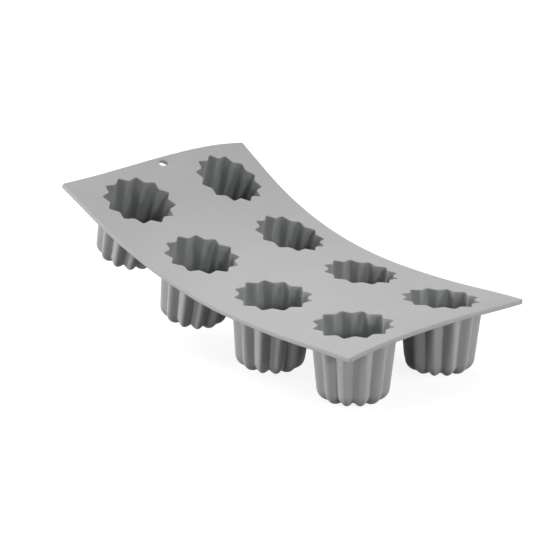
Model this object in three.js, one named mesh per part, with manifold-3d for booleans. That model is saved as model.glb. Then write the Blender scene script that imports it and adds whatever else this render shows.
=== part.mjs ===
// Canele mould: a flexible silicone sheet with two columns of fluted cups hanging below it.
// It stands on the cups of row 1, and the sheet bends smoothly upwards to row 4, as a soft sheet
// does when its far end is lifted. Millimetres, +Z up, +X from row 4 to row 1, +Y from front to back.
import * as THREE from 'three';
import { mergeVertices } from 'three/addons/utils/BufferGeometryUtils.js';
import Module from 'manifold-3d';

const wasm = await Module();
wasm.setup();

// Cup sizes
const fluteCount = 12;
const mouthRadius = 27.5; // at the tips of the flutes
const fluteDepth = 4.1; // from a tip to the valley beside it
const tipSoftness = 0.15; // at the mouth; 0 leaves the tips as sharp creases
const baseTipSoftness = 0.4; // at the base
const valleySharpness = 0.9; // 1 leaves the valleys as sharp creases
const cupHeight = 51.4; // from the sheet's top face to the base
const wallThickness = 1.5;
const wallDraft = THREE.MathUtils.degToRad(6);
const baseCornerRadius = 10.5; // outside, between the wall and the base
const baseFluteDepth = 2.5; // where the flutes turn under the base
const baseFluteRun = 5; // over which they fade out under the base

// Sheet sizes
const rowCount = 4;
const sheetThickness = 3.2;
const rowGap = 20; // between the mouths of neighbouring rows
const columnGap = 33; // between the mouths of the two columns
const endLand = 10; // from a mouth to the sheet's end
const sideLand = 16.5; // from a mouth to the sheet's side
const webInset = 1.5; // from a cup's wall to the flexible web between two rows
const sheetCornerRadius = 1.2;
const hangHoleRadius = 3.5;
const hangHoleInset = 6.7; // from the raised end to the hole's centre

// How the sheet lies
const rowSlopes = [0, 5.9, 17.7, 30.3]; // degrees, at each row's middle
const sheetArch = 3.6; // that the long sides hang below the middle
const sideSkew = 1.5; // that two opposite corners hang lower still, and the other two higher
const endDip = 0.8; // that row 1's end hangs below its row
const endTwist = 7.2; // that the raised end's back corner stands above its middle
const endCrown = 0.9; // that the raised end's middle stands above its corners
const endSwell = 1.1; // that the raised end bulges behind its middle and dips before it
const cupSag = 0.22; // share of its row's slope by which a cup swings back to plumb

const fitGap = 0.3; // between neighbouring pieces

// Mesh steps
const pointsPerFlute = 4;
const cornerSteps = 2;
const panelSteps = 6;
const webSteps = 3;
const sideSteps = 2;
const middleSteps = 4;
const walkSteps = 40;
const cornerArcSteps = 6;
const floorSides = 24;
const holeSides = 24;
const nudge = 1e-3; // step for finding the slope of a surface down a cup
const grooveSpan = 0.06; // radians either way, wide enough to keep the outside's grooves open

const rowPitch = 2 * mouthRadius + rowGap;
const columnPitch = 2 * mouthRadius + columnGap;
const firstRow = endLand + mouthRadius;
const sheetLength = 2 * firstRow + (rowCount - 1) * rowPitch;
const halfWidth = columnPitch / 2 + mouthRadius + sideLand;
const panelReach = mouthRadius + wallThickness + webInset; // from a row's middle to its web
const cutterReach = cupHeight; // that cutters stand past the sheet

const silicone = new THREE.MeshStandardMaterial({ color: 0xb4b4b2, roughness: 0.55, metalness: 0 });

// The sheet as a surface: s is the distance along it from row 1's end, t runs across it, and h is
// the height above its top face

function tiltAt(s) {
  const place = THREE.MathUtils.clamp((s - firstRow) / rowPitch, 0, rowCount - 1);
  const before = Math.min(Math.floor(place), rowCount - 2);
  const slope = THREE.MathUtils.lerp(rowSlopes[before], rowSlopes[before + 1], place - before);
  return THREE.MathUtils.degToRad(slope);
}

function riseAt(s, t) {
  const along = 2 * s / sheetLength - 1;
  const across = t / halfWidth;
  const crown = endCrown * Math.cos(across * Math.PI / 2);
  const swell = endSwell * Math.sin(across * Math.PI);
  const endRise = (endTwist * across + crown + swell) * Math.max(0, along) ** 2;
  const cupAcross = columnPitch / 2 / halfWidth;
  const arch = sheetArch * (cupAcross ** 2 - across ** 2);
  const sideShare = Math.max(0, (Math.abs(across) - cupAcross) / (1 - cupAcross));
  const skew = sideSkew * Math.sign(t) * along * sideShare ** 2;
  const dip = endDip * Math.max(0, 1 - s / firstRow) ** 2;
  return endRise + arch - skew - dip;
}

function sheetPoint(s, t, h) {
  const point = new THREE.Vector3(0, t, 0);
  const step = (s - firstRow) / walkSteps;
  for (let i = 0; i < walkSteps; i += 1) {
    const tilt = tiltAt(firstRow + (i + 0.5) * step);
    point.x -= step * Math.cos(tilt);
    point.z += step * Math.sin(tilt);
  }
  const height = h + riseAt(s, t);
  point.x += height * Math.sin(tiltAt(s));
  point.z += height * Math.cos(tiltAt(s));
  return point;
}

function rowStation(row) {
  return firstRow + (row - 1) * rowPitch;
}

// A row's own frame: its origin is midway between its mouths' centres, on the line that joins them,
// with X along the sheet and Z square to it
function rowFrame(row) {
  const s = rowStation(row);
  const front = sheetPoint(s, -columnPitch / 2, 0);
  const back = sheetPoint(s, columnPitch / 2, 0);
  const across = back.clone().sub(front).normalize();
  const slope = sheetPoint(s - 1, 0, 0).sub(sheetPoint(s + 1, 0, 0));
  const up = new THREE.Vector3().crossVectors(slope, across).normalize();
  const along = new THREE.Vector3().crossVectors(across, up);
  return new THREE.Matrix4().makeBasis(along, across, up).setPosition(front.lerp(back, 0.5));
}

// A cup's place in its row's frame, where it hangs a little nearer to plumb than its row's slope
function cupPlace(row, side) {
  const swing = -cupSag * tiltAt(rowStation(row));
  return new THREE.Matrix4().makeRotationY(swing).setPosition(0, side * columnPitch / 2, 0);
}

// Closed meshes and cuts

function closedGeometry(points, triangles) {
  const geometry = new THREE.BufferGeometry();
  const positions = points.flatMap((point) => point.toArray());
  geometry.setAttribute('position', new THREE.Float32BufferAttribute(positions, 3));
  geometry.setIndex(triangles);
  return geometry;
}

function toSolid(geometry) {
  const bare = geometry.clone();
  bare.deleteAttribute('normal');
  bare.deleteAttribute('uv');
  const merged = mergeVertices(bare);
  return new wasm.Manifold(new wasm.Mesh({
    numProp: 3,
    vertProperties: new Float32Array(merged.attributes.position.array),
    triVerts: new Uint32Array(merged.index.array),
  }));
}

function fromSolid(solid) {
  const mesh = solid.getMesh();
  const geometry = new THREE.BufferGeometry();
  geometry.setAttribute('position', new THREE.BufferAttribute(mesh.vertProperties, 3));
  geometry.setIndex(new THREE.BufferAttribute(mesh.triVerts, 1));
  return geometry;
}

function quad(a, b, c, d) {
  return [a, b, c, a, c, d];
}

// Evenly spaced values from one end to the other
function spread(from, to, steps) {
  return Array.from({ length: steps + 1 }, (_, i) => from + (to - from) * i / steps);
}

// A stretch of the bent sheet, as a closed slab
function sheetStretch(from, to, steps) {
  const flatHalf = columnPitch / 2;
  const along = spread(from, to, steps);
  const across = [
    ...spread(-halfWidth, -flatHalf, sideSteps),
    ...spread(-flatHalf, flatHalf, middleSteps).slice(1, -1),
    ...spread(flatHalf, halfWidth, sideSteps),
  ];
  const rows = along.length;
  const columns = across.length;
  const points = [];
  for (const h of [0, -sheetThickness]) {
    for (const s of along) {
      points.push(...across.map((t) => sheetPoint(s, t, h)));
    }
  }
  const top = (i, j) => i * columns + j;
  const under = (i, j) => (rows + i) * columns + j;
  const triangles = [];
  for (let i = 0; i < rows - 1; i += 1) {
    for (let j = 0; j < columns - 1; j += 1) {
      triangles.push(...quad(top(i, j), top(i, j + 1), top(i + 1, j + 1), top(i + 1, j)));
      triangles.push(...quad(under(i, j), under(i + 1, j), under(i + 1, j + 1), under(i, j + 1)));
    }
    const last = columns - 1;
    triangles.push(...quad(top(i, 0), top(i + 1, 0), under(i + 1, 0), under(i, 0)));
    triangles.push(...quad(top(i + 1, last), top(i, last), under(i, last), under(i + 1, last)));
  }
  for (let j = 0; j < columns - 1; j += 1) {
    const last = rows - 1;
    triangles.push(...quad(top(0, j + 1), top(0, j), under(0, j), under(0, j + 1)));
    triangles.push(...quad(top(last, j), top(last, j + 1), under(last, j + 1), under(last, j)));
  }
  return closedGeometry(points, triangles);
}

// Cup surface

// 0 on a flute's tip and 1 in the valley between two tips
function fluteShare(angle, softness) {
  const soften = (swing) => Math.hypot(swing, softness) / Math.hypot(1, softness);
  const bend = (swing) => Math.asin(valleySharpness * soften(swing));
  return (bend(Math.sin(angle * fluteCount / 2)) - bend(0)) / (bend(1) - bend(0));
}

// The cavity's tip line in three stages: 0 to 1 down the wall, 1 to 2 round the corner and 2 to 3
// along the floor. It gives the radius, height, slope of the outward normal and depth of the flutes.
function tipLine(stage) {
  const radius = baseCornerRadius - wallThickness;
  const centreHeight = wallThickness - cupHeight + radius;
  const wallFoot = centreHeight - radius * Math.sin(wallDraft);
  const footRadius = mouthRadius + (wallFoot + sheetThickness) * Math.tan(wallDraft);
  const centreRadius = footRadius - radius * Math.cos(wallDraft);
  if (stage <= 1) {
    const height = THREE.MathUtils.lerp(-sheetThickness, wallFoot, stage);
    const tip = THREE.MathUtils.lerp(mouthRadius, footRadius, stage);
    return { tip, height, slope: wallDraft, depth: fluteDepth };
  }
  if (stage <= 2) {
    const slope = THREE.MathUtils.lerp(wallDraft, Math.PI / 2, stage - 1);
    const tip = centreRadius + radius * Math.cos(slope);
    const height = centreHeight - radius * Math.sin(slope);
    return { tip, height, slope, depth: THREE.MathUtils.lerp(fluteDepth, baseFluteDepth, stage - 1) };
  }
  const run = (stage - 2) * baseFluteRun;
  const depth = baseFluteDepth * (3 - stage);
  return { tip: centreRadius - run, height: wallThickness - cupHeight, slope: Math.PI / 2, depth };
}

function cavityPoint(stage, angle) {
  const line = tipLine(stage);
  const softness = THREE.MathUtils.lerp(tipSoftness, baseTipSoftness, Math.min(1, stage / 2));
  const inset = line.depth * fluteShare(angle, softness);
  const radius = line.tip - inset * Math.cos(line.slope);
  const height = line.height + inset * Math.sin(line.slope);
  return new THREE.Vector3(radius * Math.cos(angle), radius * Math.sin(angle), height);
}

// The cup's outside lies one wall away from the cavity, along the cavity's normal
function outsidePoint(stage, angle) {
  const down = cavityPoint(stage + nudge, angle).sub(cavityPoint(stage - nudge, angle));
  const round = cavityPoint(stage, angle + grooveSpan).sub(cavityPoint(stage, angle - grooveSpan));
  const outward = new THREE.Vector3().crossVectors(down, round).normalize();
  return cavityPoint(stage, angle).addScaledVector(outward, wallThickness);
}

// The flat floor's edge, where the flutes have faded out
const floorRadius = tipLine(3).tip;

// A cup's wall, from the sheet's underside to the flat floor, in its row's frame
function cupWall(row, side, toRow) {
  const count = fluteCount * pointsPerFlute;
  const angles = spread(0, 2 * Math.PI, count).slice(0, count);
  const stages = spread(1, 2, cornerSteps);
  const place = cupPlace(row, side);
  const underSheet = (point) => {
    const s = rowStation(row) - point.x;
    const t = side * columnPitch / 2 + point.y;
    return sheetPoint(s, t, -sheetThickness - fitGap).applyMatrix4(toRow);
  };
  const floorEdge = (angle, height) => {
    const edge = new THREE.Vector3(floorRadius * Math.cos(angle), floorRadius * Math.sin(angle), height);
    return edge.applyMatrix4(place);
  };
  const rings = [angles.map((angle) => underSheet(cavityPoint(0, angle)))];
  for (const stage of stages) {
    rings.push(angles.map((angle) => cavityPoint(stage, angle).applyMatrix4(place)));
  }
  rings.push(angles.map((angle) => floorEdge(angle, wallThickness - cupHeight)));
  rings.push(angles.map((angle) => floorEdge(angle, -cupHeight)));
  for (const stage of stages.toReversed()) {
    rings.push(angles.map((angle) => outsidePoint(stage, angle).applyMatrix4(place)));
  }
  rings.push(angles.map((angle) => underSheet(outsidePoint(0, angle))));
  const triangles = [];
  rings.forEach((_, ring) => {
    const next = (ring + 1) % rings.length;
    for (let i = 0; i < count; i += 1) {
      const j = (i + 1) % count;
      triangles.push(...quad(ring * count + i, ring * count + j, next * count + j, next * count + i));
    }
  });
  return closedGeometry(rings.flat(), triangles);
}

function cupFloor(row, side) {
  const edge = floorRadius - fitGap;
  const profile = [
    new THREE.Vector2(0, -cupHeight),
    new THREE.Vector2(edge, -cupHeight),
    new THREE.Vector2(edge, wallThickness - cupHeight),
    new THREE.Vector2(0, wallThickness - cupHeight),
  ];
  const disc = new THREE.LatheGeometry(profile, floorSides);
  disc.rotateX(Math.PI / 2);
  disc.applyMatrix4(cupPlace(row, side));
  return fromSolid(toSolid(disc));
}

// Cutters for the sheet, in its row's frame

function mouthCutter(side) {
  const count = fluteCount * pointsPerFlute;
  const outline = spread(0, 2 * Math.PI, count).slice(0, count).map((angle) => {
    const point = cavityPoint(0, angle);
    return new THREE.Vector2(point.x, point.y + side * columnPitch / 2);
  });
  const prism = new THREE.ExtrudeGeometry(new THREE.Shape(outline), {
    depth: 2 * cutterReach,
    bevelEnabled: false,
  });
  prism.translate(0, 0, -cutterReach);
  return toSolid(prism);
}

function cornerCutter(corner, endSign, side) {
  const radius = sheetCornerRadius;
  const past = 2 * radius;
  const shape = new THREE.Shape();
  const place = (x, y) => [corner.x + endSign * x, corner.y + side * y];
  shape.moveTo(...place(-radius, 0));
  for (const turn of spread(Math.PI / 2, 0, cornerArcSteps).slice(1)) {
    shape.lineTo(...place(radius * (Math.cos(turn) - 1), radius * (Math.sin(turn) - 1)));
  }
  shape.lineTo(...place(past, -radius));
  shape.lineTo(...place(past, past));
  shape.lineTo(...place(-radius, past));
  const prism = new THREE.ExtrudeGeometry(shape, { depth: 2 * cutterReach, bevelEnabled: false });
  prism.translate(0, 0, -cutterReach);
  return toSolid(prism);
}

function hangHoleCutter(toRow) {
  const s = sheetLength - hangHoleInset;
  const hole = new THREE.CylinderGeometry(hangHoleRadius, hangHoleRadius, 2 * cutterReach, holeSides);
  hole.rotateX(Math.PI / 2);
  hole.rotateY(tiltAt(s) - tiltAt(rowStation(rowCount)));
  hole.translate(...sheetPoint(s, 0, 0).applyMatrix4(toRow).toArray());
  return toSolid(hole);
}

// Pieces

const sides = [['front', -1], ['back', 1]];

function named(name, geometry) {
  const mesh = new THREE.Mesh(geometry, silicone);
  mesh.name = name;
  return mesh;
}

function sheetPanel(row, toRow) {
  const isFirst = row === 1;
  const isLast = row === rowCount;
  const from = isFirst ? 0 : rowStation(row) - panelReach;
  const to = isLast ? sheetLength : rowStation(row) + panelReach;
  let panel = toSolid(sheetStretch(from, to, panelSteps).applyMatrix4(toRow));
  for (const [, side] of sides) {
    panel = panel.subtract(mouthCutter(side));
    if (isFirst || isLast) {
      const end = isFirst ? 0 : sheetLength;
      const corner = sheetPoint(end, side * halfWidth, 0).applyMatrix4(toRow);
      panel = panel.subtract(cornerCutter(corner, isFirst ? 1 : -1, side));
    }
  }
  return isLast ? panel.subtract(hangHoleCutter(toRow)) : panel;
}

function rowGroup(row) {
  const group = new THREE.Group();
  const frame = rowFrame(row);
  const toRow = frame.clone().invert();
  frame.decompose(group.position, group.quaternion, group.scale);
  group.add(named(`sheet_row_${row}`, fromSolid(sheetPanel(row, toRow))));
  for (const [place, side] of sides) {
    group.add(named(`cup_wall_${row}_${place}`, cupWall(row, side, toRow)));
    group.add(named(`cup_floor_${row}_${place}`, cupFloor(row, side)));
  }
  return group;
}

function flexWeb(row) {
  const from = rowStation(row) + panelReach + fitGap;
  const to = rowStation(row + 1) - panelReach - fitGap;
  return named(`flex_web_${row}_${row + 1}`, sheetStretch(from, to, webSteps));
}

const mould = new THREE.Group();
for (let row = 1; row <= rowCount; row += 1) {
  mould.add(rowGroup(row));
  if (row < rowCount) {
    mould.add(flexWeb(row));
  }
}

// The origin is under the middle of the mould, on the surface that it stands on
const box = new THREE.Box3().setFromObject(mould, true);
const middle = box.getCenter(new THREE.Vector3());
mould.position.set(-middle.x, -middle.y, -box.min.z);

export default mould;
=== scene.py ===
import math

import bmesh
import bpy
from mathutils import Matrix, Vector


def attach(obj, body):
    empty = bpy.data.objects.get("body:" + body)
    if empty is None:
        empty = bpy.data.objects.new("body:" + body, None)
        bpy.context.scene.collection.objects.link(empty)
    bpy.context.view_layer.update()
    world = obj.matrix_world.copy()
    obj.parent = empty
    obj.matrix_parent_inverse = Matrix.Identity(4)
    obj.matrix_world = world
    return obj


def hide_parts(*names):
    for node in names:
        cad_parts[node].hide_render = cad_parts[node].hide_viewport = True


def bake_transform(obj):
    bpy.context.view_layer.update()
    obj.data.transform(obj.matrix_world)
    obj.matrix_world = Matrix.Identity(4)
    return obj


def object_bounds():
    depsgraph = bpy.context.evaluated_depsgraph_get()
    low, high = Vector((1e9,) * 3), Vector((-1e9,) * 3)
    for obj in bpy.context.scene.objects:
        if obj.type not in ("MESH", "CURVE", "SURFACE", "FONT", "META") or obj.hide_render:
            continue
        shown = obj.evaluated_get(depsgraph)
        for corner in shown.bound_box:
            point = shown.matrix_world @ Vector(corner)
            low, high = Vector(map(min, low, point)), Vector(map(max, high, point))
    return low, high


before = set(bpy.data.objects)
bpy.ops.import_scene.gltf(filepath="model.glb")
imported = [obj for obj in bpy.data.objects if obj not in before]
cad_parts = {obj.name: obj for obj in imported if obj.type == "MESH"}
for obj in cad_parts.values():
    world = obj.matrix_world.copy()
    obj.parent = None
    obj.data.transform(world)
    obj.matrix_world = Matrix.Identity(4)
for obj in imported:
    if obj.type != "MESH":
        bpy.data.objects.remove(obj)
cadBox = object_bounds()
scene = bpy.context.scene
print("frame loaded,", len(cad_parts), "nodes")

# metres: s runs along the sheet from row 1's end, t across it, h up from its top face
sheetSettings = {
    "rows": 4,
    "length": 0.300,
    "width": 0.176,
    "thickness": 0.0032,
    "cornerRadius": 0.0012,
    "edgeRadius": 0.0004,
    "mouthRounding": 0.0005,
    "cupFillet": 0.0010,
    "panelReach": 0.0305,  # from a row's middle to the bare web beside it
    "holeRadius": 0.0035,
    "holeInset": 0.0067,
    "holeRounding": 0.0004,
}
bendSettings = {
    "rowSlopes": (0, 5.9, 17.7, 30.3),  # degrees, at each row's middle
    "sheetArch": 0.0036,  # that the long sides hang below the middle
    "sideSkew": 0.0015,  # that the long sides rise or drop past the cups, towards the ends
    "endDip": 0.0008,  # of row 1's end
    "endTwist": 0.0072,  # of the raised end, as are the next two
    "endCrown": 0.0009,
    "endSwell": 0.0011,
    "cupSag": 0.22,  # share of its row's slope by which a cup swings back to plumb
    "walkSteps": 24,
    "slopeStep": 0.001,  # to either side of a row, to find its slope
}
cupSettings = {
    "flutes": 12,
    "rowPitch": 0.075,
    "columnPitch": 0.088,
    "mouthRadius": 0.0275,  # at the tips of the flutes
    "fluteDepth": 0.0041,
    "tipSoftness": 0.15,  # at the mouth
    "baseTipSoftness": 0.4,
    "valleySharpness": 0.9,
    "height": 0.0514,
    "wall": 0.0015,
    "draft": math.radians(6),
    "baseCorner": 0.0105,
    "baseFluteDepth": 0.0025,
    "baseFluteRun": 0.005,
    "grooveSpan": 0.06,  # radians, wide enough to keep the outside's grooves open
    "stageStep": 0.001,  # to either side of a stage, to find the wall's slope
    "collarStage": 0.05,  # the sheet's collar takes this share of the wall
    "stiffDepth": 0.018,  # below this a cup keeps its own shape
    "pushFrom": 0.0140,  # the depths between which the real cup's wall shortens when its base is pressed in
    "pushTo": 0.0491,
}
meshSettings = {
    "spokes": 192,
    "cornerSpokes": 3,  # on each half of a sheet corner's arc
    "sheetSteps": 4,  # from a mouth to the edge of its cell
    "webSteps": 14,
    "webColumns": 44,
    "arcSteps": 3,
    "wallSteps": 12,
    "cornerSteps": 10,
    "floorEdgeSteps": 4,
    "floorShares": (1, 0.7, 0.4, 0.15),  # of the flat floor's radius
    "holeSegments": 40,
    "holeRoundingSteps": 2,
    "holeSlack": 1e-5,  # how far from its radius the hole's rim may lie
    "smoothAngle": math.radians(50),
    "support": 0.0003,  # a ring this far from each rounded edge keeps the flats flat
    "touch": 1e-6,  # what is nearer than this counts as level or touching
}

firstRow = (sheetSettings["length"] - (sheetSettings["rows"] - 1) * cupSettings["rowPitch"]) / 2
halfWidth = sheetSettings["width"] / 2
cupOffset = cupSettings["columnPitch"] / 2
rowOneTop = Vector((cadBox[1].x - firstRow, 0, cupSettings["height"]))
sides = {"front": -1, "back": 1}


# how the soft sheet lies
def tiltAt(s):
    slopes = bendSettings["rowSlopes"]
    place = min(len(slopes) - 1.0, max(0.0, (s - firstRow) / cupSettings["rowPitch"]))
    before = min(len(slopes) - 2, int(place))
    return math.radians(slopes[before] + (slopes[before + 1] - slopes[before]) * (place - before))


def riseAt(s, t):
    bend = bendSettings
    along = 2 * s / sheetSettings["length"] - 1
    across = t / halfWidth
    cupAcross = cupOffset / halfWidth
    endRise = bend["endTwist"] * across
    endRise += bend["endCrown"] * math.cos(across * math.pi / 2)
    endRise += bend["endSwell"] * math.sin(across * math.pi)
    arch = bend["sheetArch"] * (cupAcross ** 2 - across ** 2)
    sideShare = max(0.0, (abs(across) - cupAcross) / (1 - cupAcross))
    skew = math.copysign(bend["sideSkew"], t) * along * sideShare ** 2
    dip = bend["endDip"] * max(0.0, 1 - s / firstRow) ** 2
    return endRise * max(0.0, along) ** 2 + arch - skew - dip


def sheetPoint(s, t, h):
    point = rowOneTop + Vector((0, t, 0))
    step = (s - firstRow) / bendSettings["walkSteps"]
    for i in range(bendSettings["walkSteps"]):
        tilt = tiltAt(firstRow + (i + 0.5) * step)
        point += Vector((-step * math.cos(tilt), 0, step * math.sin(tilt)))
    height = h + riseAt(s, t)
    return point + height * Vector((math.sin(tiltAt(s)), 0, math.cos(tiltAt(s))))


def rowStation(row):
    return firstRow + (row - 1) * cupSettings["rowPitch"]


# where a stiff cup hangs: square to its row, but a little nearer to plumb
def cupMatrix(row, sign):
    s = rowStation(row)
    step = bendSettings["slopeStep"]
    front = sheetPoint(s, -cupOffset, 0)
    back = sheetPoint(s, cupOffset, 0)
    across = (back - front).normalized()
    slope = sheetPoint(s - step, 0, 0) - sheetPoint(s + step, 0, 0)
    up = slope.cross(across).normalized()
    turn = Matrix((across.cross(up), across, up)).transposed()
    swing = Matrix.Rotation(-bendSettings["cupSag"] * tiltAt(s), 3, "Y")
    return Matrix.Translation(back if sign > 0 else front) @ (turn @ swing).to_4x4()


def ease(share):
    share = min(1.0, max(0.0, share))
    return share * share * (3 - 2 * share)


# a flat row is laid on the bent sheet, and its cups turn stiff below it
def layRow(bm, row):
    stiff = {sign: cupMatrix(row, sign) for sign in sides.values()}
    collar = -cavityPoint(0, cupSettings["collarStage"]).z
    for vert in bm.verts:
        sign = 1 if vert.co.y > 0 else -1
        soft = sheetPoint(rowStation(row) - vert.co.x, vert.co.y, vert.co.z)
        hung = stiff[sign] @ (vert.co - Vector((0, sign * cupOffset, 0)))
        depth = (-vert.co.z - collar) / (cupSettings["stiffDepth"] - collar)
        vert.co = soft.lerp(hung, ease(depth))


# the fluted cup about its own axis
def fluteShare(turn, soft):
    def bend(swing):
        return math.asin(cupSettings["valleySharpness"] * math.hypot(swing, soft) / math.hypot(1, soft))

    return (bend(math.sin(turn * cupSettings["flutes"] / 2)) - bend(0)) / (bend(1) - bend(0))


# stage 0 to 1 is the wall, 1 to 2 the corner and 2 to 3 the floor's fluted edge
def tipLine(stage):
    cup = cupSettings
    radius = cup["baseCorner"] - cup["wall"]
    centreHeight = cup["wall"] - cup["height"] + radius
    wallFoot = centreHeight - radius * math.sin(cup["draft"])
    wallTop = -sheetSettings["thickness"]
    footRadius = cup["mouthRadius"] + (wallFoot - wallTop) * math.tan(cup["draft"])
    centreRadius = footRadius - radius * math.cos(cup["draft"])
    if stage <= 1:
        tip = cup["mouthRadius"] + (footRadius - cup["mouthRadius"]) * stage
        return tip, wallTop + (wallFoot - wallTop) * stage, cup["draft"], cup["fluteDepth"]
    if stage <= 2:
        slope = cup["draft"] + (math.pi / 2 - cup["draft"]) * (stage - 1)
        depth = cup["fluteDepth"] + (cup["baseFluteDepth"] - cup["fluteDepth"]) * (stage - 1)
        tip = centreRadius + radius * math.cos(slope)
        return tip, centreHeight - radius * math.sin(slope), slope, depth
    run = (stage - 2) * cup["baseFluteRun"]
    return centreRadius - run, cup["wall"] - cup["height"], math.pi / 2, cup["baseFluteDepth"] * (3 - stage)


def cavityPoint(turn, stage):
    tip, height, slope, depth = tipLine(stage)
    soft = cupSettings["tipSoftness"]
    baseSoft = cupSettings["baseTipSoftness"]
    inset = depth * fluteShare(turn, soft + (baseSoft - soft) * min(1.0, stage / 2))
    radius = tip - inset * math.cos(slope)
    return Vector((radius * math.cos(turn), radius * math.sin(turn), height + inset * math.sin(slope)))


def outsidePoint(turn, stage):
    step = cupSettings["stageStep"]
    span = cupSettings["grooveSpan"]
    down = cavityPoint(turn, stage + step) - cavityPoint(turn, stage - step)
    around = cavityPoint(turn + span, stage) - cavityPoint(turn - span, stage)
    return cavityPoint(turn, stage) + down.cross(around).normalized() * cupSettings["wall"]


def floorPoint(turn, share, height):
    radius = tipLine(3)[0] * share
    return Vector((radius * math.cos(turn), radius * math.sin(turn), height))


def spread(start, end, steps):
    return [start + (end - start) * i / steps for i in range(steps + 1)]


# the steps of a quarter round: how far in, and how far down
def quarterRound(radius):
    arcs = [math.pi / 2 * i / meshSettings["arcSteps"] for i in range(meshSettings["arcSteps"] + 1)]
    return [(radius * (1 - math.cos(arc)), radius * (1 - math.sin(arc))) for arc in arcs]


# one ring of edges grows out of another: each ring is a finish, a place function and its values
def sweepRings(bm, rings, closed):
    turn = bm.verts.layers.float.get("turn") or bm.verts.layers.float.new("turn")
    verts = bmesh.ops.create_circle(bm, segments=meshSettings["spokes"], radius=1)["verts"]
    for vert in verts:
        vert[turn] = math.atan2(vert.co.y, vert.co.x)
        vert.co = rings[0][1](vert[turn], *rings[0][2:])
    known = set(verts)
    startEdges = [edge for edge in bm.edges if known.issuperset(edge.verts)]
    edges = startEdges
    for finish, place, *values in rings[1:]:
        grown = bmesh.ops.extrude_edge_only(bm, edges=edges)["geom"]
        verts = [item for item in grown if isinstance(item, bmesh.types.BMVert)]
        for vert in verts:
            vert.co = place(vert[turn], *values)
        known = set(verts)
        grownEdges = [item for item in grown if isinstance(item, bmesh.types.BMEdge)]
        edges = [edge for edge in grownEdges if known.issuperset(edge.verts)]
        for face in grown:
            if isinstance(face, bmesh.types.BMFace):
                face.material_index = finish
    if closed:
        bmesh.ops.bridge_loops(bm, edges=startEdges + edges)
    return startEdges, edges


def isLevel(edge):
    return abs(edge.verts[0].co.z - edge.verts[1].co.z) < meshSettings["touch"]


def roundEdges(bm, edges, radius, steps):
    bmesh.ops.bevel(
        bm,
        geom=edges,
        offset=radius,
        segments=steps,
        profile=0.5,
        affect="EDGES",
        material=-1,
    )


def finishPiece(name, bm, *materials):
    bmesh.ops.recalc_face_normals(bm, faces=bm.faces)
    for face in bm.faces:
        face.smooth = True
    mesh = bpy.data.meshes.new(name)
    bm.to_mesh(mesh)
    bm.free()
    mesh.set_sharp_from_angle(angle=meshSettings["smoothAngle"])
    for material in materials:
        mesh.materials.append(material)
    piece = bpy.data.objects.new(name, mesh)
    scene.collection.objects.link(piece)
    return piece


# materials
siliconeSettings = {
    "outside": {"colour": (0.450, 0.450, 0.4485, 1), "roughness": 0.60, "grain": 0.05},
    # the cavity colour is the outside silicone painted darker, as painted shade in the cups' hollows
    "cavity": {"colour": (0.313, 0.321, 0.325, 1), "roughness": 0.40, "grain": 0.03},
    "cloud": {"scale": 28.0, "detail": 3, "tone": 0.030},
    "speck": {"scale": 2600.0, "detail": 2, "tone": 0.025},
    "noiseLow": 0.3,  # the noise between these spreads over the whole tone
    "noiseHigh": 0.7,
    "grainHeight": 0.0002,
    "ior": 1.41,
}


def mathNode(tree, operation, first, second):
    node = tree.nodes.new("ShaderNodeMath")
    node.operation = operation
    tree.links.new(first, node.inputs[0])
    tree.links.new(second, node.inputs[1])
    return node.outputs["Value"]


# faint clouds and fine specks in the colour, clouds in the gloss and specks in the grain
def makeGrainGroup():
    group = bpy.data.node_groups.new("siliconeGrain", "ShaderNodeTree")
    sockets = group.interface
    sockets.new_socket("Colour", in_out="INPUT", socket_type="NodeSocketColor")
    sockets.new_socket("Roughness", in_out="INPUT", socket_type="NodeSocketFloat")
    sockets.new_socket("Colour", in_out="OUTPUT", socket_type="NodeSocketColor")
    sockets.new_socket("Roughness", in_out="OUTPUT", socket_type="NodeSocketFloat")
    sockets.new_socket("Height", in_out="OUTPUT", socket_type="NodeSocketFloat")
    nodes, links = group.nodes, group.links
    start = nodes.new("NodeGroupInput")
    end = nodes.new("NodeGroupOutput")
    place = nodes.new("ShaderNodeTexCoord")
    noises = {}
    tones = {}
    for layer in ("cloud", "speck"):
        look = siliconeSettings[layer]
        noise = nodes.new("ShaderNodeTexNoise")
        noise.inputs["Scale"].default_value = look["scale"]
        noise.inputs["Detail"].default_value = look["detail"]
        links.new(place.outputs["Object"], noise.inputs["Vector"])
        tone = nodes.new("ShaderNodeMapRange")
        tone.inputs["From Min"].default_value = siliconeSettings["noiseLow"]
        tone.inputs["From Max"].default_value = siliconeSettings["noiseHigh"]
        tone.inputs["To Min"].default_value = 1 - look["tone"]
        tone.inputs["To Max"].default_value = 1 + look["tone"]
        links.new(noise.outputs["Fac"], tone.inputs["Value"])
        noises[layer] = noise.outputs["Fac"]
        tones[layer] = tone.outputs["Result"]
    shade = nodes.new("ShaderNodeVectorMath")
    shade.operation = "SCALE"
    links.new(start.outputs["Colour"], shade.inputs["Vector"])
    links.new(mathNode(group, "MULTIPLY", tones["cloud"], tones["speck"]), shade.inputs["Scale"])
    links.new(shade.outputs["Vector"], end.inputs["Colour"])
    gloss = mathNode(group, "MULTIPLY", start.outputs["Roughness"], tones["cloud"])
    links.new(gloss, end.inputs["Roughness"])
    links.new(noises["speck"], end.inputs["Height"])
    return group


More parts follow.
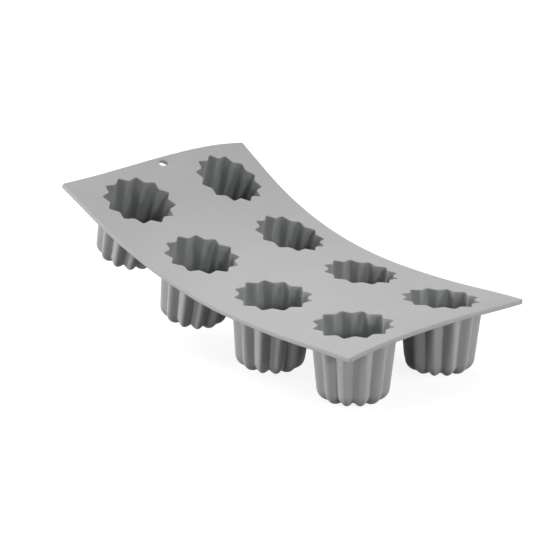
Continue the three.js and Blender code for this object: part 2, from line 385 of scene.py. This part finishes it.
def makeSilicone(name, look, grainGroup):
    material = bpy.data.materials.new(name)
    material.use_nodes = True
    nodes, links = material.node_tree.nodes, material.node_tree.links
    shader = nodes["Principled BSDF"]
    shader.inputs["IOR"].default_value = siliconeSettings["ior"]
    grain = nodes.new("ShaderNodeGroup")
    grain.node_tree = grainGroup
    grain.inputs["Colour"].default_value = look["colour"]
    grain.inputs["Roughness"].default_value = look["roughness"]
    bump = nodes.new("ShaderNodeBump")
    bump.inputs["Strength"].default_value = look["grain"]
    bump.inputs["Distance"].default_value = siliconeSettings["grainHeight"]
    links.new(grain.outputs["Height"], bump.inputs["Height"])
    links.new(grain.outputs["Colour"], shader.inputs["Base Color"])
    links.new(grain.outputs["Roughness"], shader.inputs["Roughness"])
    links.new(bump.outputs["Normal"], shader.inputs["Normal"])
    return material


grainGroup = makeGrainGroup()
outsideSilicone = makeSilicone("outsideSilicone", siliconeSettings["outside"], grainGroup)
# the cavity material is the same silicone painted darker: painted shade inside the cups
cavityShadeSilicone = makeSilicone("cavityShadeSilicone", siliconeSettings["cavity"], grainGroup)
outside, cavity = 0, 1  # the order of the finishes on a piece
print("materials made")


# the sheet round a row: half of it is one cell about the front cup, and the other half its mirror.
# The outline gives a place, the way out over a free edge and the way out over any edge.
def cellOutline(turn, cell):
    way = Vector((math.cos(turn), math.sin(turn)))
    uSign = 1 if way.x > 0 else -1
    vSign = 1 if way.y > 0 else -1
    corner = Vector((cell["uHigh"] if uSign > 0 else cell["uLow"], vSign * cupOffset))
    uWay = Vector((uSign, 0))
    vWay = Vector((0, vSign))
    uOut = uWay if cell["freeEnd"] == uSign else Vector((0, 0))
    vOut = vWay if vSign < 0 else Vector((0, 0))
    gap = math.remainder(turn - math.atan2(corner.y, corner.x), 2 * math.pi)
    place = round(gap * meshSettings["spokes"] / (2 * math.pi))
    half = meshSettings["cornerSpokes"]
    if uOut.length > 0 and vOut.length > 0 and abs(place) <= half:
        arc = math.atan2(vSign, uSign) + place / half * math.pi / 4
        out = Vector((math.cos(arc), math.sin(arc)))
        return corner + sheetSettings["cornerRadius"] * (out - uOut - vOut), out, out
    if place == 0:
        return corner, uOut + vOut, uWay + vWay
    uReach = corner.x / way.x if abs(way.x) > meshSettings["touch"] else math.inf
    vReach = corner.y / way.y if abs(way.y) > meshSettings["touch"] else math.inf
    return (way * uReach, uOut, uWay) if uReach < vReach else (way * vReach, vOut, vWay)


def rimPoint(turn, inset, h, cell):
    point, out, _ = cellOutline(turn, cell)
    return (point - out * inset).to_3d() + Vector((0, 0, h))


# a place beside a fluted outline, seen from above
def besideFlutes(turn, out, h, surface, stage):
    point = surface(turn, stage).xy
    return (point + point.normalized() * out).to_3d() + Vector((0, 0, h))


def betweenRims(turn, share, out, h, surface, cell):
    point, _, way = cellOutline(turn, cell)
    end = point - way * (sheetSettings["edgeRadius"] + meshSettings["support"])
    return besideFlutes(turn, out, h, surface, 0).lerp(end.to_3d() + Vector((0, 0, h)), share)


# from the collar up the cavity, out over the top, round the edge and back under to the collar's outside
def cellRings(cell):
    thickness = sheetSettings["thickness"]
    mouth = sheetSettings["mouthRounding"]
    fillet = sheetSettings["cupFillet"]
    support = meshSettings["support"]
    collar = cupSettings["collarStage"]
    shares = spread(0, 1, meshSettings["sheetSteps"])
    edgeRound = quarterRound(sheetSettings["edgeRadius"])
    rings = [(cavity, cavityPoint, collar), (cavity, cavityPoint, 0)]
    for step, (out, drop) in enumerate(quarterRound(mouth)):
        rings.append((outside if step > 0 else cavity, besideFlutes, out, -drop, cavityPoint, 0))
    for share in shares:
        rings.append((outside, betweenRims, share, mouth + support, 0, cavityPoint, cell))
    for inset, drop in reversed(edgeRound):
        rings.append((outside, rimPoint, inset, -drop, cell))
    for inset, drop in edgeRound:
        rings.append((outside, rimPoint, inset, drop - thickness, cell))
    for share in reversed(shares):
        rings.append((outside, betweenRims, share, fillet + support, -thickness, outsidePoint, cell))
    for out, drop in reversed(quarterRound(fillet)):
        rings.append((outside, besideFlutes, out, -thickness - drop, outsidePoint, 0))
    rings.append((outside, outsidePoint, collar))
    return rings


def drillHangHole(bm):
    bmesh.ops.recalc_face_normals(bm, faces=bm.faces)
    plain = bpy.data.meshes.new("plainSheet")
    bm.to_mesh(plain)
    bm.free()
    drill = bmesh.new()
    centre = Vector((sheetSettings["holeInset"] - firstRow, 0, 0))
    bmesh.ops.create_cone(
        drill,
        cap_ends=True,
        segments=meshSettings["holeSegments"],
        radius1=sheetSettings["holeRadius"],
        radius2=sheetSettings["holeRadius"],
        depth=4 * sheetSettings["thickness"],  # half of it reaches down from the top face
        matrix=Matrix.Translation(centre),
    )
    drillMesh = bpy.data.meshes.new("holeDrill")
    drill.to_mesh(drillMesh)
    drill.free()
    sheet = bpy.data.objects.new("plainSheet", plain)
    drillPiece = bpy.data.objects.new("holeDrill", drillMesh)
    for item in (sheet, drillPiece):
        scene.collection.objects.link(item)
    cut = sheet.modifiers.new("hangHole", "BOOLEAN")
    cut.operation = "DIFFERENCE"
    cut.solver = "EXACT"
    cut.object = drillPiece
    drilled = bmesh.new()
    drilled.from_object(sheet, bpy.context.evaluated_depsgraph_get())
    for item in (sheet, drillPiece):
        bpy.data.objects.remove(item)
    rim = []
    for edge in drilled.edges:
        reaches = [(vert.co.xy - centre.xy).length - sheetSettings["holeRadius"] for vert in edge.verts]
        if isLevel(edge) and max(map(abs, reaches)) < meshSettings["holeSlack"]:
            rim.append(edge)
    roundEdges(drilled, rim, sheetSettings["holeRounding"], meshSettings["holeRoundingSteps"])
    return drilled


def makeSheetRow(row):
    reach = sheetSettings["panelReach"]
    touch = meshSettings["touch"]
    cell = {"uLow": -reach, "uHigh": reach, "freeEnd": 0}
    if row == 1:
        cell.update(uHigh=firstRow, freeEnd=1)
    if row == sheetSettings["rows"]:
        cell.update(uLow=-firstRow, freeEnd=-1)
    bm = bmesh.new()
    sweepRings(bm, cellRings(cell), closed=True)
    bmesh.ops.translate(bm, verts=bm.verts, vec=(0, -cupOffset, 0))
    joinFaces = [face for face in bm.faces if all(abs(vert.co.y) < touch for vert in face.verts)]
    bmesh.ops.delete(bm, geom=joinFaces, context="FACES")
    bmesh.ops.mirror(bm, geom=bm.verts[:] + bm.edges[:] + bm.faces[:], axis="Y", merge_dist=touch)
    if row == sheetSettings["rows"]:
        bm = drillHangHole(bm)
    layRow(bm, row)
    piece = finishPiece(f"sheetRow{row}", bm, outsideSilicone, cavityShadeSilicone)
    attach(piece, f"row_{row}")
    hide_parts(f"sheet_row_{row}")


for row in range(1, sheetSettings["rows"] + 1):
    makeSheetRow(row)
print("sheet rows laid")


# the bare bands between rows, laid bent along the sheet
def makeFlexWeb(row):
    reach = sheetSettings["panelReach"]
    edge = sheetSettings["edgeRadius"]
    thickness = sheetSettings["thickness"]
    steps, columns = meshSettings["webSteps"], meshSettings["webColumns"]
    length = cupSettings["rowPitch"] - 2 * reach
    middle = Vector((-cupSettings["rowPitch"] / 2, 0, 0))
    bm = bmesh.new()
    bmesh.ops.create_grid(bm, x_segments=steps, y_segments=columns, size=0.5)
    bmesh.ops.scale(bm, verts=bm.verts, vec=(length, sheetSettings["width"], 1))
    bmesh.ops.translate(bm, verts=bm.verts, vec=middle)
    grown = bmesh.ops.extrude_face_region(bm, geom=bm.faces[:], use_keep_orig=True)["geom"]
    lower = [item for item in grown if isinstance(item, bmesh.types.BMVert)]
    bmesh.ops.translate(bm, verts=lower, vec=(0, 0, -thickness))
    longEdges = []
    for item in bm.edges:
        onSide = all(abs(abs(vert.co.y) - halfWidth) < meshSettings["touch"] for vert in item.verts)
        if onSide and isLevel(item):
            longEdges.append(item)
    roundEdges(bm, longEdges, edge, meshSettings["arcSteps"])
    for sign in sides.values():
        bmesh.ops.bisect_plane(
            bm,
            geom=bm.verts[:] + bm.edges[:] + bm.faces[:],
            plane_co=(0, sign * (halfWidth - edge - meshSettings["support"]), 0),
            plane_no=(0, 1, 0),
        )
    layRow(bm, row)
    piece = finishPiece(f"flexWeb{row}", bm, outsideSilicone)
    start = sheetPoint(rowStation(row) + reach, 0, -thickness / 2)
    end = sheetPoint(rowStation(row + 1) - reach, 0, -thickness / 2)
    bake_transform(piece)
    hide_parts(f"flex_web_{row}_{row + 1}")


for row in range(1, sheetSettings["rows"]):
    makeFlexWeb(row)
print("flexible webs laid")


# the cups: cavity, outside and the floor that a finger presses in
def cupShell(bm, surface, floorHeight, finish):
    stages = spread(cupSettings["collarStage"], 1, meshSettings["wallSteps"])
    stages += spread(1, 2, meshSettings["cornerSteps"])[1:]
    stages += spread(2, 3, meshSettings["floorEdgeSteps"])[1:-1]
    rings = [(finish, surface, stage) for stage in stages]
    rings += [(finish, floorPoint, share, floorHeight) for share in meshSettings["floorShares"]]
    topEdges, floorEdges = sweepRings(bm, rings, closed=False)
    floorVerts = list({vert for edge in floorEdges for vert in edge.verts})
    bmesh.ops.pointmerge(bm, verts=floorVerts, merge_co=(0, 0, floorHeight))
    return topEdges


def makeCupBlank():
    bm = bmesh.new()
    cavityTop = cupShell(bm, cavityPoint, cupSettings["wall"] - cupSettings["height"], cavity)
    outsideTop = cupShell(bm, outsidePoint, -cupSettings["height"], outside)
    bmesh.ops.bridge_loops(bm, edges=cavityTop + outsideTop)
    return bm


def makeCup(cupBlank, row, place, sign):
    bm = cupBlank.copy()
    bmesh.ops.translate(bm, verts=bm.verts, vec=(0, sign * cupOffset, 0))
    layRow(bm, row)
    cup = finishPiece(f"cup{row}{place.capitalize()}", bm, outsideSilicone, cavityShadeSilicone)
    axis = cupMatrix(row, sign)
    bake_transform(cup)
    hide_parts(f"cup_wall_{row}_{place}", f"cup_floor_{row}_{place}")


cupBlank = makeCupBlank()
for row in range(1, sheetSettings["rows"] + 1):
    for place, sign in sides.items():
        makeCup(cupBlank, row, place, sign)
cupBlank.free()
print("cups made")

# floor, light and camera
stageSettings = {
    "floorSize": 2.0,
    "floorTone": 0.06,  # what the floor throws back on the object
    "floorSeen": 0.25,  # what the camera sees of it, with the glow added
    "floorGlow": 0.87,
    "worldTone": 0.0,
    "worldSeen": 1.0,
    "lightAim": (0, 0, 0.07),
}
lightSettings = {  # metres and watts
    "overheadLight": {"place": (0, 0, 1.57), "size": 0.7, "power": 3.2},
    "topLight": {"place": (-0.19, 0.68, 1.39), "size": 0.7, "power": 4.0},
    "backLight": {"place": (-0.87, 0.86, 0.93), "size": 0.7, "power": 5.6},
    "backLeftLight": {"place": (-1.18, -0.33, 0.93), "size": 0.7, "power": 12.4},
    "leftLight": {"place": (-0.93, -1.16, 0.28), "size": 0.4, "power": 12.9},
    "frontLight": {"place": (0.08, -1.46, 0.38), "size": 0.7, "power": 5.7},
    "cameraLight": {"place": (1.39, -0.36, 0.51), "size": 0.2, "power": 5.1},
    "rightLight": {"place": (1.38, 0.38, 0.51), "size": 0.2, "power": 4.8},
    "backRightLight": {"place": (1.03, 1.04, 0.38), "size": 0.7, "power": 7.0},
}
cameraSettings = {
    "azimuth": math.radians(45.592),
    "elevation": math.radians(15.319),
    "roll": math.radians(0.163),
    "aim": (0.0665, -0.0687, 0.0770),
    "distance": 1.0,
    "lens": 98.05,  # millimetres, as is the sensor
    "sensor": 36,
}


def grey(tone):
    return (tone, tone, tone, 1)


def makeFloor():
    bm = bmesh.new()
    bmesh.ops.create_grid(bm, x_segments=1, y_segments=1, size=stageSettings["floorSize"] / 2)
    mesh = bpy.data.meshes.new("floor")
    bm.to_mesh(mesh)
    bm.free()
    floor = bpy.data.objects.new("floor", mesh)
    scene.collection.objects.link(floor)
    material = bpy.data.materials.new("paleFloor")
    material.use_nodes = True
    tree = material.node_tree
    nodes, links = tree.nodes, tree.links
    nodes.remove(nodes["Principled BSDF"])
    path = nodes.new("ShaderNodeLightPath")
    seen = mathNode(tree, "MAXIMUM", path.outputs["Is Camera Ray"], path.outputs["Is Glossy Ray"])
    tone = nodes.new("ShaderNodeMix")
    tone.data_type = "RGBA"
    tone.inputs[6].default_value = grey(stageSettings["floorTone"])  # the two colours of the mix
    tone.inputs[7].default_value = grey(stageSettings["floorSeen"])
    links.new(seen, tone.inputs["Factor"])
    paint = nodes.new("ShaderNodeBsdfDiffuse")
    links.new(tone.outputs[2], paint.inputs["Color"])
    glow = nodes.new("ShaderNodeEmission")
    strength = nodes.new("ShaderNodeMath")
    strength.operation = "MULTIPLY"
    strength.inputs[1].default_value = stageSettings["floorGlow"]
    links.new(seen, strength.inputs[0])
    links.new(strength.outputs["Value"], glow.inputs["Strength"])
    both = nodes.new("ShaderNodeAddShader")
    links.new(paint.outputs["BSDF"], both.inputs[0])
    links.new(glow.outputs["Emission"], both.inputs[1])
    links.new(both.outputs["Shader"], nodes["Material Output"].inputs["Surface"])
    mesh.materials.append(material)


def makeWorld():
    world = bpy.data.worlds.new("studio")
    world.use_nodes = True
    scene.world = world
    nodes, links = world.node_tree.nodes, world.node_tree.links
    path = nodes.new("ShaderNodeLightPath")
    tone = nodes.new("ShaderNodeMapRange")
    tone.inputs["To Min"].default_value = stageSettings["worldTone"]
    tone.inputs["To Max"].default_value = stageSettings["worldSeen"]
    links.new(path.outputs["Is Camera Ray"], tone.inputs["Value"])
    links.new(tone.outputs["Result"], nodes["Background"].inputs["Strength"])
    nodes["Background"].inputs["Color"].default_value = grey(1)


def makeLight(name, look):
    light = bpy.data.lights.new(name, "AREA")
    light.energy = look["power"]
    light.size = look["size"]
    lamp = bpy.data.objects.new(name, light)
    lamp.location = look["place"]
    way = Vector(stageSettings["lightAim"]) - lamp.location
    lamp.rotation_euler = way.to_track_quat("-Z", "Y").to_euler()
    scene.collection.objects.link(lamp)


def makeCamera():
    camera = bpy.data.cameras.new("camera")
    camera.lens = cameraSettings["lens"]
    camera.sensor_width = cameraSettings["sensor"]
    holder = bpy.data.objects.new("camera", camera)
    across = cameraSettings["azimuth"]
    up = cameraSettings["elevation"]
    back = Vector((math.sin(across) * math.cos(up), -math.cos(across) * math.cos(up), math.sin(up)))
    holder.location = Vector(cameraSettings["aim"]) + back * cameraSettings["distance"]
    look = (-back).to_track_quat("-Z", "Y").to_matrix() @ Matrix.Rotation(cameraSettings["roll"], 3, "Z")
    holder.rotation_euler = look.to_euler()
    scene.collection.objects.link(holder)
    scene.camera = holder


makeFloor()
makeWorld()
for name, look in lightSettings.items():
    makeLight(name, look)
makeCamera()
scene.view_settings.view_transform = "Standard"
print("stage set")
